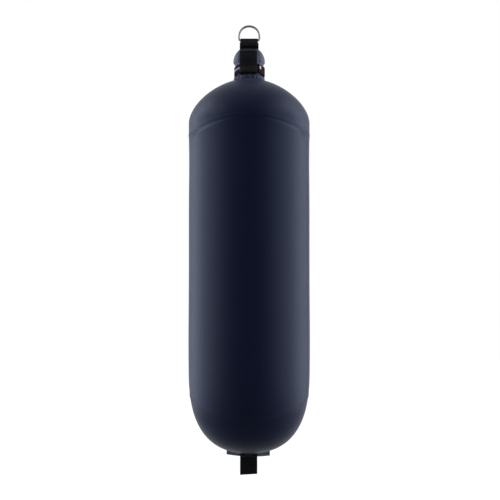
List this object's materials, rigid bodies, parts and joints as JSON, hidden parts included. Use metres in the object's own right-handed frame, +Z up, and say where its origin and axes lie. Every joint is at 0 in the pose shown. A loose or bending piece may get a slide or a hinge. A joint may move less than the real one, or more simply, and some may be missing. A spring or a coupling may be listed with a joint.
{
  "type": "pneumatic fender",
  "caption": "Inflatable boat fender: long round-ended bladder in a dark cloth cover, D-ring on a webbing strap at the top and a webbing loop at the bottom.",
  "frame": {"origin": "inside top of the D-ring's eye, where a line or shackle bears", "axes": "+Z up along the fender, -Y towards the viewer of the picture, +X to the viewer's right, along the ring's bar"},
  "size_m": [0.2822, 0.2822, 1.0454],
  "materials": {
    "steel": "satin stainless wire",
    "webbing": "woven black webbing",
    "navy_cloth": "matte navy woven cloth",
    "bladder_film": "smooth grey film",
    "valve_plastic": "moulded black",
    "seal_rubber": "moulded black"
  },
  "bodies": {
    "ring": {"d_ring": "steel"},
    "fender": {"top_strap": "webbing", "neck_band": "webbing", "cover_top": "navy_cloth", "cover_sleeve": "navy_cloth", "cover_bottom": "navy_cloth", "bottom_tab": "navy_cloth", "bottom_loop": "webbing", "bladder": "bladder_film", "valve_base": "valve_plastic", "valve_insert": "valve_plastic", "valve_seal": "seal_rubber", "valve_membrane": "seal_rubber", "valve_cap": "valve_plastic"}
  },
  "joints": [
    {"name": "fender_swing", "type": "hinge", "parent": "ring", "child": "fender", "pos_m": [0, 0, -0.0302], "axis": [1, 0, 0], "range_deg": [-135, 135]}
  ]
}
